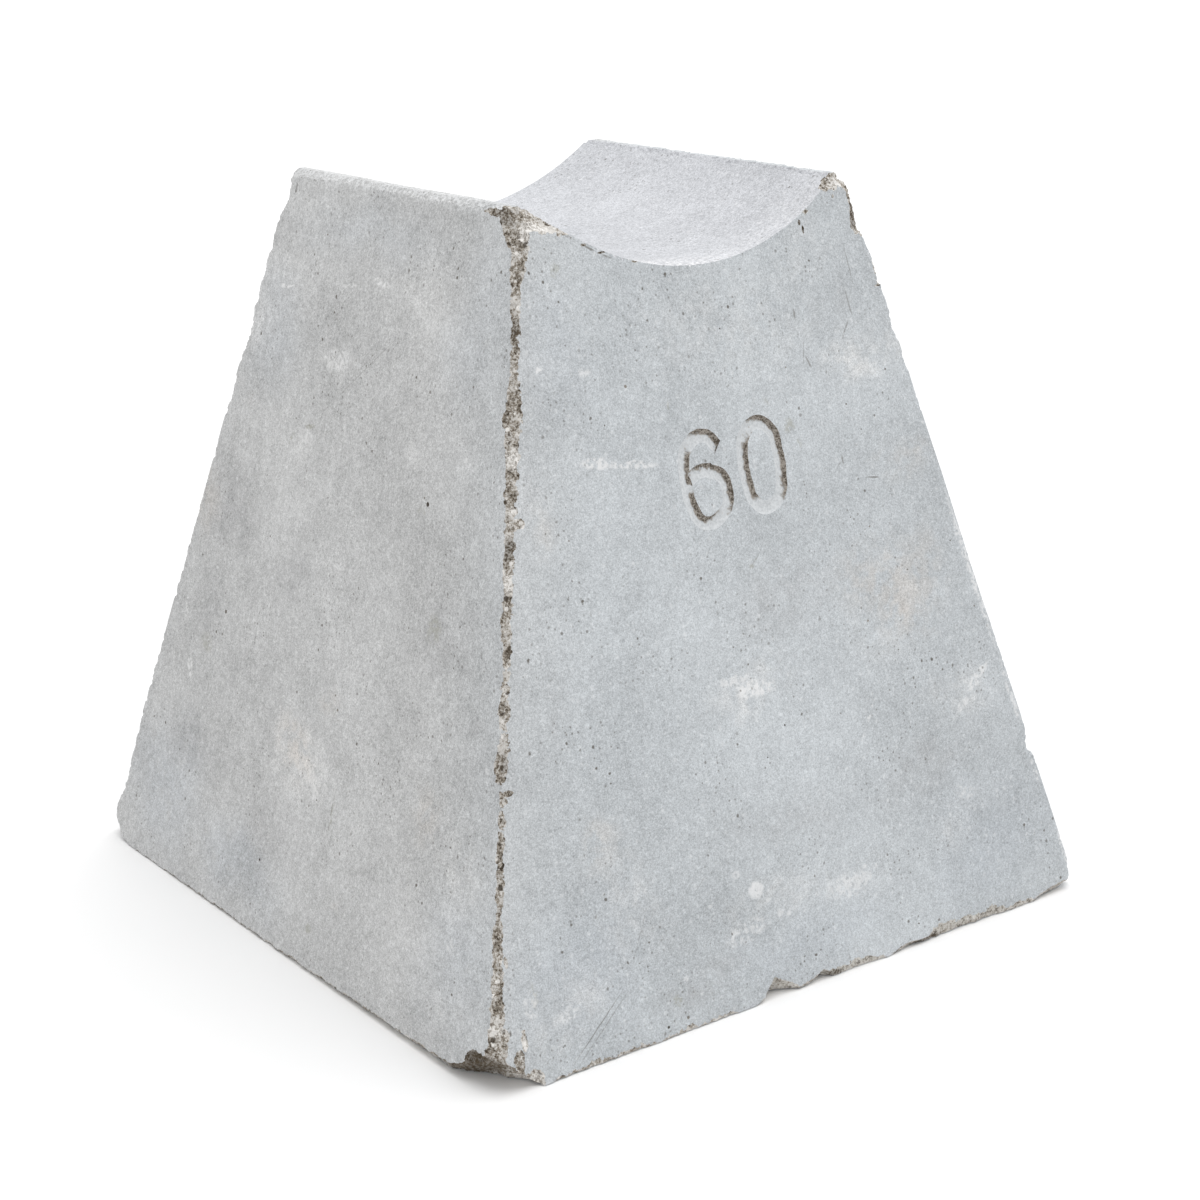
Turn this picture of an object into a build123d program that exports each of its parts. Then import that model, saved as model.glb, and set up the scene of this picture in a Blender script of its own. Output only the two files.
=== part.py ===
from build123d import *
import os

# Concrete cover block for reinforcement, cast upside down in a tapered mould.
# It stands on its wide base, with a bar along Y in the saddle across its top.
# Its cover, from the base to the bottom of the saddle, is its nominal size.
# The origin is the middle of the base.

# Body
cover = 60.0  # base to saddle bottom
base_width = 66.0  # across the bar
base_length = 69.0  # along the bar
top_width = 34.5
top_length = 36.0

# Saddle
saddle_radius = 24.0
saddle_depth = 6.0  # rim above the saddle bottom
cut_overrun = 5.0  # the cutting tool past both end faces

# Mould radii
arris_radius = 1.0  # the four leaning arrises
rim_radius = 0.7  # round the top

# Broken corners: how far each break runs along the base or rim and up or down the arris
front_base_break_width = 4.8
front_base_break_length = 7.0
front_base_break_rise = 3.6
front_rim_break_width = 3.0
front_rim_break_length = 4.2
front_rim_break_drop = 3.8
left_base_break_width = 2.6
left_base_break_length = 5.0
left_base_break_rise = 3.4
right_base_break_width = 3.4
right_base_break_length = 2.2
right_base_break_rise = 2.8
right_rim_break_width = 1.9
right_rim_break_length = 1.4
right_rim_break_drop = 3.4

rim_height = cover + saddle_depth


def base_corner(x_side, y_side):
    """Sharp base corner on the named sides, each 1 or -1."""
    return Vector(x_side * base_width / 2, y_side * base_length / 2, 0)


def rim_corner(x_side, y_side):
    """Sharp top corner on the named sides, each 1 or -1."""
    return Vector(x_side * top_width / 2, y_side * top_length / 2, rim_height)


def break_plane(start, along_arris, x_side, y_side, width, length, reach):
    """Plane of a broken corner: it crosses the two edges of the level face at width
    and length from the corner, and the arris at reach, and looks outwards."""
    on_width = start - Vector(x_side * width, 0, 0)
    on_length = start - Vector(0, y_side * length, 0)
    on_arris = start + (along_arris - start).normalized() * reach
    normal = (on_length - on_width).cross(on_arris - on_width)
    if normal.dot(start - on_width) < 0:
        normal = -normal
    return Plane(origin=on_width, x_dir=on_length - on_width, z_dir=normal)


def base_break(x_side, y_side, width, length, rise):
    """Plane of a broken base corner."""
    base, rim = base_corner(x_side, y_side), rim_corner(x_side, y_side)
    return break_plane(base, rim, x_side, y_side, width, length, rise)


def rim_break(x_side, y_side, width, length, drop):
    """Plane of a broken rim corner."""
    base, rim = base_corner(x_side, y_side), rim_corner(x_side, y_side)
    return break_plane(rim, base, x_side, y_side, width, length, drop)


corner_breaks = [
    base_break(-1, -1, front_base_break_width, front_base_break_length, front_base_break_rise),
    base_break(-1, 1, left_base_break_width, left_base_break_length, left_base_break_rise),
    base_break(1, -1, right_base_break_width, right_base_break_length, right_base_break_rise),
    rim_break(-1, -1, front_rim_break_width, front_rim_break_length, front_rim_break_drop),
    rim_break(1, -1, right_rim_break_width, right_rim_break_length, right_rim_break_drop),
]

# Spacer block
with BuildPart() as spacer_block:
    # tapered body, as the mould leaves it
    with BuildSketch(Plane.XY):
        Rectangle(base_width, base_length)
    with BuildSketch(Plane.XY.offset(rim_height)):
        Rectangle(top_width, top_length)
    loft(ruled=True)

    # mould radii on the leaning arrises, then round the top
    leaning_arrises = spacer_block.edges().group_by(Axis.Z)[1]
    fillet(leaning_arrises, arris_radius)
    top_face = spacer_block.faces().sort_by(Axis.Z)[-1]
    fillet(top_face.edges(), rim_radius)

    # saddle for the bar
    with BuildSketch(Plane.XZ):
        with Locations((0, cover + saddle_radius)):
            Circle(saddle_radius)
    extrude(amount=base_length / 2 + cut_overrun, both=True, mode=Mode.SUBTRACT)

    # corners knocked off in handling
    for plane in corner_breaks:
        split(bisect_by=plane, keep=Keep.BOTTOM)

spacer_block.part.label = "spacer_block"

os.makedirs("parts", exist_ok=True)
export_step(spacer_block.part, "parts/spacer_block.step")
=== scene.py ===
import math
import random

import bmesh
import bpy
from mathutils import Euler, Matrix, Vector, noise
from mathutils.kdtree import KDTree


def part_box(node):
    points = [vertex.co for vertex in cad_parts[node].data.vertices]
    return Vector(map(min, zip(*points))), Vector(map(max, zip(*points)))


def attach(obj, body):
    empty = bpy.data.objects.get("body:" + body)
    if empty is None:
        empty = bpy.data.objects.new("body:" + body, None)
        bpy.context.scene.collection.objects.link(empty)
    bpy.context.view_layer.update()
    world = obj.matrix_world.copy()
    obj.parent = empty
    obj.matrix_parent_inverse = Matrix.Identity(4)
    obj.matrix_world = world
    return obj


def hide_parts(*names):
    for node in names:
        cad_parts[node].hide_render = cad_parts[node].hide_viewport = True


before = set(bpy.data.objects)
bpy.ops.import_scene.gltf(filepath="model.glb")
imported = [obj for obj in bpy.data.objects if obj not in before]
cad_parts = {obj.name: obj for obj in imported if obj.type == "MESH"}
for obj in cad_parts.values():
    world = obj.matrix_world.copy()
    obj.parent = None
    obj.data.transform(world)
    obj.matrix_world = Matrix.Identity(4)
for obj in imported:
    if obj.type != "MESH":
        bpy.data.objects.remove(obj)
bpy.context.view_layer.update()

mm = 0.001
baseLow, baseHigh = [Vector(corner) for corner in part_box("spacer_block")]
baseWidth, baseLength, height = baseHigh - baseLow
down = Vector((0, 0, -1))

# the sizes of the casting
casting = {
    "topWidth": 34.5 * mm,
    "topLength": 36.0 * mm,
    "cover": 60.0 * mm,
    "saddleRadius": 24.0 * mm,
    "arrisRadius": 0.3 * mm,  # what wear has left of the mould's radius
    "rimRadius": 0.28 * mm,  # less than the arrises', or the corners fold over
    "roundSteps": 3,
    "nearly": 0.01 * mm,  # an edge no further than this from the top is on the rim
    "smoothAngle": 35,
    "gridStep": 1.5 * mm,
    "alike": 0.75,  # how nearly a face's normal is that of its side
    "unevenness": ((14 * mm, 0.16 * mm), (5 * mm, 0.06 * mm)),
}

topHalf = Vector((casting["topWidth"] / 2, casting["topLength"] / 2, height))
baseHalf = Vector((baseWidth / 2, baseLength / 2, 0))
saddleAxis = casting["cover"] + casting["saddleRadius"]


# a side of the block is named by two signs: x and y, one of them 0 for a face
def baseCorner(xSide, ySide):
    return Vector((xSide * baseHalf.x, ySide * baseHalf.y, 0))


def rimCorner(xSide, ySide):
    return Vector((xSide * topHalf.x, ySide * topHalf.y, height))


def onFace(xSide, ySide, across, high):
    edge = baseHalf.lerp(topHalf, high / height)
    if xSide:
        return Vector((xSide * edge.x, across, high))
    return Vector((across, ySide * edge.y, high))


# how far the faces lean in, and their outward normals
leanX = math.atan2(baseHalf.x - topHalf.x, height)
leanY = math.atan2(baseHalf.y - topHalf.y, height)


def faceNormal(xSide, ySide):
    if xSide:
        return Vector((xSide * math.cos(leanX), 0, math.sin(leanX)))
    return Vector((0, ySide * math.cos(leanY), math.sin(leanY)))


endFace, sideFace, backFace, rightFace = (0, -1), (-1, 0), (0, 1), (1, 0)


# camera at the photograph's place
cameraView = {
    "place": (-120.6 * mm, -169.1 * mm, 91.6 * mm),
    "turn": 36.24,
    "tilt": -17.51,
    "roll": -0.88,
    "lens": 69.96,
    "sensorWidth": 36.0,
    "clipStart": 10 * mm,
}


def placeCamera():
    bpy.ops.object.select_all(action="DESELECT")
    bpy.ops.object.camera_add(location=cameraView["place"])
    camera = bpy.context.object
    aim = Euler((math.radians(90 + cameraView["tilt"]), 0, math.radians(-cameraView["turn"])))
    roll = Matrix.Rotation(math.radians(cameraView["roll"]), 3, "Z")
    camera.rotation_euler = (aim.to_matrix() @ roll).to_euler()
    camera.data.lens = cameraView["lens"]
    camera.data.sensor_width = cameraView["sensorWidth"]
    camera.data.clip_start = cameraView["clipStart"]
    bpy.context.scene.camera = camera


placeCamera()
print("camera placed")

# small helpers for working by operator
def startFresh():
    bpy.ops.object.select_all(action="DESELECT")


def takeUp(piece):
    startFresh()
    piece.select_set(True)
    bpy.context.view_layer.objects.active = piece


def enterEdit(piece):
    bpy.context.view_layer.objects.active = piece
    bpy.ops.object.mode_set(mode="EDIT")


def leaveEdit():
    bpy.ops.object.mode_set(mode="OBJECT")


def pick(piece, kind, wanted):
    # selects the wanted faces or edges in edit mode
    bpy.ops.mesh.select_mode(type=kind)
    bpy.ops.mesh.select_all(action="DESELECT")
    mesh = bmesh.from_edit_mesh(piece.data)
    for part in mesh.faces if kind == "FACE" else mesh.edges:
        part.select_set(wanted(part))
    bmesh.update_edit_mesh(piece.data)


def cutAcross(low, high, step, direction):
    # planes through the whole piece divide its faces evenly
    for number in range(1, round((high - low) / step)):
        bpy.ops.mesh.select_all(action="SELECT")
        bpy.ops.mesh.bisect(plane_co=direction * (low + number * step), plane_no=direction)


def turnOutward(piece):
    enterEdit(piece)
    bpy.ops.mesh.select_all(action="SELECT")
    bpy.ops.mesh.normals_make_consistent(inside=False)
    leaveEdit()


def settlePlace(piece):
    takeUp(piece)
    bpy.ops.object.transform_apply(location=True, rotation=True, scale=True)


def roughen(piece, steps, middle=0.5):
    # pushes the surface in and out by soft noise that is fixed in space
    for number, (size, strength) in enumerate(steps):
        texture = bpy.data.textures.new("%sRough%d" % (piece.name, number), "CLOUDS")
        texture.noise_scale = size
        texture.noise_depth = 1
        rough = piece.modifiers.new("rough%d" % number, "DISPLACE")
        rough.texture = texture
        rough.texture_coords = "GLOBAL"
        rough.strength = strength
        rough.mid_level = middle


def weaker(steps, share):
    return [(size, strength * share) for size, strength in steps]


def applyAll(piece):
    takeUp(piece)
    for modifier in list(piece.modifiers):
        bpy.ops.object.modifier_apply(modifier=modifier.name)


def named(name, *finishNames):
    # the thing just added gets its name and finishes
    piece = bpy.context.object
    piece.name = name
    for finish in finishNames:
        piece.data.materials.append(finishes[finish])
    return piece


def cutAway(body, tool):
    cut = body.modifiers.new("cut", "BOOLEAN")
    cut.operation = "DIFFERENCE"
    cut.solver = "MANIFOLD"
    cut.material_mode = "TRANSFER"
    cut.object = tool
    applyAll(body)
    bpy.data.objects.remove(tool)


# plain materials first, their nodes come later
finishes = {name + "Concrete": bpy.data.materials.new(name + "Concrete")
            for name in ("cast", "side", "end", "saddle", "broken", "groove", "pit")}


# the tapered casting
def makeTaper():
    startFresh()
    bpy.ops.mesh.primitive_cube_add(size=1, location=(0, 0, height / 2),
                                    scale=(baseWidth, baseLength, height))
    body = named("castBlock", "castConcrete", "sideConcrete", "endConcrete")
    settlePlace(body)
    enterEdit(body)
    pick(body, "FACE", lambda face: face.normal.z > casting["alike"])
    taper = (casting["topWidth"] / baseWidth, casting["topLength"] / baseLength, 1)
    bpy.ops.transform.resize(value=taper)

    # the leaning arrises are rounded, then the rim
    pick(body, "EDGE", lambda edge: abs(edge.verts[0].co.z - edge.verts[1].co.z) > height / 2)
    bpy.ops.mesh.bevel(offset=casting["arrisRadius"], segments=casting["roundSteps"], affect="EDGES")
    pick(body, "EDGE", lambda edge: min(vertex.co.z for vertex in edge.verts) > height - casting["nearly"])
    bpy.ops.mesh.bevel(offset=casting["rimRadius"], segments=casting["roundSteps"], affect="EDGES")

    for axis, low, high in ((0, baseLow.x, baseHigh.x), (1, baseLow.y, baseHigh.y), (2, 0, height)):
        direction = Vector([1.0 if axis == k else 0.0 for k in range(3)])
        cutAcross(low, high, casting["gridStep"], direction)
    for slot, side in ((1, sideFace), (2, endFace)):
        outward = faceNormal(*side)
        pick(body, "FACE", lambda face: face.normal.dot(outward) > casting["alike"])
        body.active_material_index = slot
        bpy.ops.object.material_slot_assign()
    leaveEdit()
    roughen(body, casting["unevenness"], middle=1.0)
    applyAll(body)
    return body


# the saddle that the bar lies in
saddle = {
    "vertices": 320,
    "ringStep": 1.0 * mm,
    "overrun": 4.0 * mm,
    "unevenness": ((7 * mm, 0.10 * mm), (1.5 * mm, 0.04 * mm)),
}


def cutSaddle(body):
    startFresh()
    length = casting["topLength"] + 2 * saddle["overrun"]
    bpy.ops.mesh.primitive_cylinder_add(vertices=saddle["vertices"], radius=casting["saddleRadius"],
                                        depth=length, rotation=(math.pi / 2, 0, 0),
                                        location=(0, 0, saddleAxis))
    tool = named("saddleTool", "saddleConcrete")
    settlePlace(tool)
    enterEdit(tool)
    cutAcross(-length / 2, length / 2, saddle["ringStep"], Vector((0, 1, 0)))
    leaveEdit()
    roughen(tool, saddle["unevenness"])
    applyAll(tool)
    cutAway(body, tool)


body = makeTaper()
print("taper made,", len(body.data.polygons), "faces")
cutSaddle(body)
print("saddle cut,", len(body.data.polygons), "faces")


# rough slabs: each lies along an edge or over a corner, and takes away what it reaches
slabs = {
    "overrun": 1.5 * mm,
    "thickness": 5.0 * mm,
    "rest": 0.8 * mm,  # a slab floats this far out where nothing is bitten
    "waveSize": 4.5 * mm,
    "crumble": ((2.4 * mm, 0.34 * mm), (0.9 * mm, 0.46 * mm), (0.4 * mm, 0.36 * mm), (0.2 * mm, 0.2 * mm)),
}


def layAlong(piece, start, end, outward):
    along = (end - start).normalized()
    outward = (outward - along * outward.dot(along)).normalized()
    axes = Matrix((along, outward.cross(along), outward)).transposed().to_4x4()
    piece.matrix_world = Matrix.Translation((start + end) / 2) @ axes


def readBite(bites, where):
    for (lowWhere, lowBite), (highWhere, highBite) in zip(bites, bites[1:]):
        if where <= highWhere:
            part = (where - lowWhere) / (highWhere - lowWhere)
            return lowBite + (highBite - lowBite) * max(part, 0)
    return bites[-1][1]


def roughSlab(name, start, end, outward, cell, width, bites, crumble, finish):
    # bites are depths in mm at shares of the way from start to end
    outward = outward.normalized()
    edgeLength = (end - start).length
    length = edgeLength + 2 * slabs["overrun"]
    startFresh()
    bpy.ops.mesh.primitive_grid_add(x_subdivisions=round(length / cell),
                                    y_subdivisions=round(width / cell), size=1)
    tool = named(name + "Tool", finish)
    tool.scale = (length, width, 1)
    settlePlace(tool)
    rest = slabs["rest"]
    travel = rest + max(bite for where, bite in bites) * mm
    group = tool.vertex_groups.new(name="bite")
    for vertex in tool.data.vertices:
        bite = readBite(bites, vertex.co.x / edgeLength + 0.5) * mm
        group.add([vertex.index], max(rest + bite, 0) / travel, "REPLACE")
    layAlong(tool, start + outward * rest, end + outward * rest, outward)
    settlePlace(tool)
    sink = tool.modifiers.new("sink", "DISPLACE")
    sink.strength = -travel
    sink.mid_level = 0
    sink.vertex_group = "bite"
    applyAll(tool)
    roughen(tool, crumble)
    applyAll(tool)
    enterEdit(tool)
    bpy.ops.mesh.select_all(action="SELECT")
    bpy.ops.mesh.extrude_region_move(TRANSFORM_OT_translate={"value": outward * slabs["thickness"]})
    leaveEdit()
    turnOutward(tool)
    return tool


halfChord = math.sqrt(casting["saddleRadius"] ** 2 - (saddleAxis - height) ** 2)


def landCorner(xSide, ySide):
    return Vector((xSide * halfChord, ySide * topHalf.y, height))


def arris(xSide, ySide):
    return baseCorner(xSide, ySide), rimCorner(xSide, ySide)


def levelEdge(corner, side):
    # the edge of a face at its base, its rim or the land beside the saddle
    xSide, ySide = side
    return [corner(xSide or end, ySide or end) for end in (-1, 1)]


# worn and broken edges: the slab's cell and width in mm and how strong its crumble is, and its bites: where
# along the line, by its height or its place across, and how deep, in mm
edges = {
    "frontArris": {
        "ends": arris(-1, -1), "faces": {endFace: 1, sideFace: 1},
        "slab": (0.13, 4.6, 1.0),
        "bites": [
            (0, 0.9), (4, 0.95), (5.5, 0.74), (7.7, 0.64), (9.5, 0.6), (12, 0.58), (15, 0.46), (17, 0.4),
            (20, 0.3), (22.5, 0.3), (24, 0.46), (26, 0.48), (28, 0.38), (31.7, 0.36), (35.6, 0.5),
            (38, 0.46), (40, 0.54), (43, 0.62), (47, 0.68), (49.5, 0.7), (50.4, 0.78), (52, 0.6),
            (54, 0.42), (57, 0.42), (58.5, 0.5), (60, 0.58), (62, 0.74), (63.5, 0.9), (66, 1.2)]},
    "rightArrisTop": {
        "ends": arris(1, -1), "faces": {endFace: 1, rightFace: 0.7},
        "slab": (0.13, 3.0, 0.8),
        "bites": [
            (0, -0.8), (54.5, -0.5), (55.8, 0), (56.3, 0.5), (57, 0.28), (58.2, 0.34), (59, 0.12),
            (60.2, 0), (60.6, 0.4), (61.1, 0.78), (61.7, 0.84), (62.4, 0.72), (63, 0.5), (64, 0.5),
            (64.8, 0.6), (65.4, 0.9), (66, 1.2)]},
    "rightArris": {
        "ends": arris(1, -1), "faces": {endFace: 1, rightFace: 1},
        "slab": (0.16, 2.4, 0.8), "finish": "endConcrete", "waves": 0.2,
        "bites": [
            (0, 1.1), (0.75, 0.95), (1.5, 0.75), (2.25, 0.5), (3, 0.3), (5, 0.2), (8, 0.16), (12, 0.16),
            (12.9, 0.3), (13.6, 0.72), (14.4, 0.62), (15, 0.26), (17, 0.16), (30, 0.12), (43, 0.16),
            (44.6, 0.24), (46.2, 0.42), (47.5, 0.24), (49.5, 0.36), (51, 0.26), (52.6, 0.42), (54.4, 0.24),
            (56, 0.36), (58, 0.28), (59.6, 0.36), (66, 0.3)]},
    "rightArrisWear": {  # rubbed flat over part of its height
        "ends": arris(1, -1), "faces": {endFace: 1, rightFace: 0.42},
        "slab": (0.2, 3.0, 0.12), "finish": "endConcrete",
        "bites": [
            (0, -0.8), (15, -0.5), (17, -0.05), (20, 0.2), (25, 0.34), (31, 0.36), (36, 0.3), (41, 0.22),
            (44, 0.02), (46, -0.4), (66, -0.8)]},
    "leftArris": {
        "ends": arris(-1, 1), "faces": {sideFace: 1, backFace: 1},
        "slab": (0.16, 3.0, 0.9), "finish": "sideConcrete", "waves": 0.2,
        "bites": [
            (0, 1.2), (0.75, 0.95), (1.5, 0.75), (2.3, 0.45), (3.8, 0.56), (6, 0.9), (7.5, 0.7), (9, 0.42),
            (11, 0.42), (12.5, 0.36), (14, 0.32), (16, 0.28), (18, 0.34), (21, 0.4), (24, 0.28),
            (27.7, 0.42), (30, 0.3), (33.7, 0.36), (36, 0.26), (39, 0.36), (42, 0.28), (45, 0.4), (48, 0.3),
            (49.5, 0.42), (51, 0.66), (52.5, 0.6), (53.3, 0.34), (54, 0.42), (55, 0.28), (57, 0.42),
            (57.8, 0.26), (59.2, 0.44), (60, 0.28), (62, 0.36), (63.5, 0.62), (65, 0.56), (66, 0.5)]},
    "backArris": {
        "ends": arris(1, 1), "faces": {rightFace: 1, backFace: 1},
        "slab": (0.2, 3.4, 0.7),
        "bites": [
            (0, 0.7), (6, 0.3), (20, 0.12), (24, 0.5), (28, 0.1), (48, 0.2), (56, 0.1), (60, -0.4),
            (66, -0.8)]},
    "baseFront": {
        "ends": levelEdge(baseCorner, endFace), "faces": {endFace: 1},
        "slab": (0.15, 4.0, 0.45),
        "bites": [
            (-33, 0.05), (-6.6, 0.05), (-5.3, 0.5), (-3.8, 1.5), (-2.6, 1), (-1.3, 0.3), (0.1, 0.5),
            (1.5, 1), (2.8, 0.2), (5.5, 0), (8.5, 0.1), (10, 0.35), (11.4, 0.55), (12.8, 0.5), (14.3, 0.25),
            (15.7, 0), (24, 0), (24.9, 0.2), (26.4, 0.12), (28, 0.5), (29.7, 0.75), (33, 1)]},
    "baseLip": {
        "ends": levelEdge(baseCorner, endFace), "faces": {endFace: 2.8},
        "slab": (0.15, 4.6, 0.55),
        "bites": [
            (-33, 0.1), (-28, 0.12), (-24, 0.22), (-20, 0.22), (-15, 0.16), (-9, 0.2), (-6, 0.08),
            (-3.8, 0.1), (0, 0.12), (2, 0.34), (5, 0.4), (7, 0.28), (8.5, 0.12), (13, 0.14), (14.3, 0.44),
            (17, 0.52), (20, 0.46), (22.3, 0.5), (24, 0.2), (27, 0.24), (30, 0.1), (33, 0.05)]},
    "baseLeft": {
        "ends": levelEdge(baseCorner, sideFace), "faces": {sideFace: 1},
        "slab": (0.15, 2.6, 0.45),
        "bites": [
            (-34.5, 0.8), (-27, 0.75), (-22, 0.64), (-12, 0.5), (0, 0.32), (10, 0.3), (20, 0.24),
            (27, 0.16), (34.5, 0.2)]},
    "baseRight": {
        "ends": levelEdge(baseCorner, rightFace), "faces": {rightFace: 1},
        "slab": (0.2, 3.4, 0.8),
        "bites": [
            (-34.5, 0.7), (-20, 0.3), (-12, 0.8), (-4, 0.3), (12, 0.5), (18, 0.9), (24, 0.3), (34.5, 0.5)]},
    "baseBack": {
        "ends": levelEdge(baseCorner, backFace), "faces": {backFace: 1},
        "slab": (0.2, 3.4, 0.8),
        "bites": [(-33, 0.5), (-16, 0.35), (-10, 0.9), (-2, 0.3), (14, 0.6), (24, 0.3), (33, 0.7)]},
    "rimLeft": {
        "ends": levelEdge(rimCorner, sideFace), "faces": {sideFace: 1},
        "slab": (0.15, 2.0, 0.45), "finish": "castConcrete",
        "bites": [(-18, 0.5), (-8, 0.38), (0, 0.42), (9, 0.36), (16, 0.45), (18, 0.55)]},
    "rimRight": {
        "ends": levelEdge(rimCorner, rightFace), "faces": {rightFace: 1},
        "slab": (0.13, 2.0, 1.2), "finish": "castConcrete",
        "bites": [(-18, 0.55), (-6, 0.42), (2, 0.5), (10, 0.4), (18, 0.25)]},
    "landLeft": {
        "ends": levelEdge(landCorner, sideFace), "faces": {rightFace: 1},
        "slab": (0.13, 1.2, 0.3), "finish": "saddleConcrete",
        "bites": [(-18, 0.12), (-10, 0.02), (0, 0.08), (8, 0), (18, 0.12)]},
    "landRight": {
        "ends": levelEdge(landCorner, rightFace), "faces": {sideFace: 1},
        "slab": (0.13, 1.2, 0.6), "finish": "saddleConcrete",
        "bites": [(-18, 0.16), (-6, 0.14), (5, 0.2), (18, 0.1)]},
}

# lips broken along the ends of the saddle line: across from and to, how far the slab looks aside and up
lips = {
    "frontLip": {"span": (-17.25, -12.3), "look": (0.62, 0.78),
                 "bites": [(-17.25, 0.85), (-15.5, 0.74), (-14.2, 0.5), (-13, 0.22), (-12.3, -0.4)]},
    "rightLip": {"span": (12.9, 17.25), "look": (-0.45, 0.6),
                 "bites": [(12.9, -0.4), (14, -0.2), (14.6, 0.22), (15.4, 0.36), (16.2, 0.36), (17.25, 0.3)]},
}
lipSlab = {"cell": 0.13, "width": 4.0, "crumble": 0.8}


def saddleLine(ySide, across):
    # a point where the saddle meets an end face, or the rim beside it
    high = saddleAxis - math.sqrt(casting["saddleRadius"] ** 2 - min(abs(across), halfChord) ** 2)
    return onFace(0, ySide, across, high)


def sharesOfWay(bites, low, high):
    return [((where - low) / (high - low), bite) for where, bite in bites]


def breakLip(body, name, lip):
    low, high = lip["span"]
    aside, up = lip["look"]
    cutAway(body, roughSlab(name, saddleLine(-1, low * mm), saddleLine(-1, high * mm),
                            faceNormal(*endFace) + Vector((aside, 0, up)), lipSlab["cell"] * mm,
                            lipSlab["width"] * mm, sharesOfWay(lip["bites"], low, high),
                            weaker(slabs["crumble"], lipSlab["crumble"]), "brokenConcrete"))


def edgeOutward(edge):
    outward = Vector((0, 0, 0))
    for side, share in edge["faces"].items():
        outward = outward + faceNormal(*side) * share
    heights = [end.z for end in edge["ends"]]
    if max(heights) < height / 2:
        outward = outward + down
    if min(heights) > height / 2:
        outward = outward - down
    return outward


def wearEdge(body, name, edge):
    start, end = edge["ends"]
    longest = max(range(3), key=lambda axis: abs(end[axis] - start[axis]))
    cell, width, share = edge["slab"]
    crumble = weaker(slabs["crumble"], share)
    if "waves" in edge:
        crumble.append((slabs["waveSize"], edge["waves"] * mm))
    bites = sharesOfWay(edge["bites"], start[longest] / mm, end[longest] / mm)
    cutAway(body, roughSlab(name, start, end, edgeOutward(edge), cell * mm, width * mm, bites, crumble,
                            edge.get("finish", "brokenConcrete")))


for name, edge in edges.items():
    wearEdge(body, name, edge)
for name, lip in lips.items():
    breakLip(body, name, lip)
print("edges worn,", len(body.data.polygons), "faces")


# corners knocked off: how far each break runs across, along, and up or down its arris, how deep its middle
# is hollowed, in mm, and how rough it is
cornerBreaks = {
    "frontBase": {"sides": (-1, -1), "level": "base", "runs": (5.1, 8.2, 3.7), "hollow": 0.4, "rough": 0.6},
    "leftBase": {"sides": (-1, 1), "level": "base", "runs": (2.2, 3.2, 3.2), "hollow": 0, "rough": 0.4,
                 "finish": "sideConcrete"},
    "leftBaseFoot": {"sides": (-1, 1), "level": "base", "runs": (2.4, 5.2, 1.2), "hollow": 0, "rough": 0.3,
                     "finish": "sideConcrete"},
    "rightBase": {"sides": (1, -1), "level": "base", "runs": (1.5, 1.6, 2.8), "hollow": 0, "rough": 0.4,
                  "finish": "endConcrete"},
    "rightBaseFoot": {"sides": (1, -1), "level": "base", "runs": (3.8, 3.0, 1.35), "hollow": 0, "rough": 0.4,
                      "finish": "endConcrete"},
    "frontRim": {"sides": (-1, -1), "level": "rim", "runs": (2.6, 4.3, 3.4), "hollow": 0.2, "rough": 0.9},
    "rightRim": {"sides": (1, -1), "level": "rim", "runs": (2.0, 1.2, 2.0), "hollow": 0.1, "rough": 0.8},
}
cornerSlab = {
    "cell": 0.14 * mm,
    "overreach": 1.6,
    "crumble": ((3.2 * mm, 0.9 * mm), (1.1 * mm, 0.7 * mm), (0.45 * mm, 0.45 * mm), (0.22 * mm, 0.2 * mm)),
}


def knockOffCorner(body, name, one):
    xSide, ySide = one["sides"]
    corner, far = baseCorner(xSide, ySide), rimCorner(xSide, ySide)
    if one["level"] == "rim":
        corner, far = far, corner
    across, along, upOrDown = one["runs"]
    onWidth = corner - Vector((xSide * across * mm, 0, 0))
    onLength = corner - Vector((0, ySide * along * mm, 0))
    onArris = corner + (far - corner).normalized() * upOrDown * mm
    outward = (onLength - onWidth).cross(onArris - onWidth).normalized()
    if outward.dot(corner - onWidth) < 0:
        outward = -outward
    size = cornerSlab["overreach"] * max(one["runs"]) * mm
    middle = (onWidth + onLength + onArris) / 3
    halfLine = (onLength - onWidth).normalized() * size / 2
    cutAway(body, roughSlab(name, middle - halfLine, middle + halfLine, outward, cornerSlab["cell"], size,
                            [(0, 0.0), (0.5, one["hollow"]), (1, 0.0)],
                            weaker(cornerSlab["crumble"], one["rough"]), one.get("finish", "brokenConcrete")))


for name, one in cornerBreaks.items():
    knockOffCorner(body, name, one)
print("corners knocked off,", len(body.data.polygons), "faces")


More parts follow.
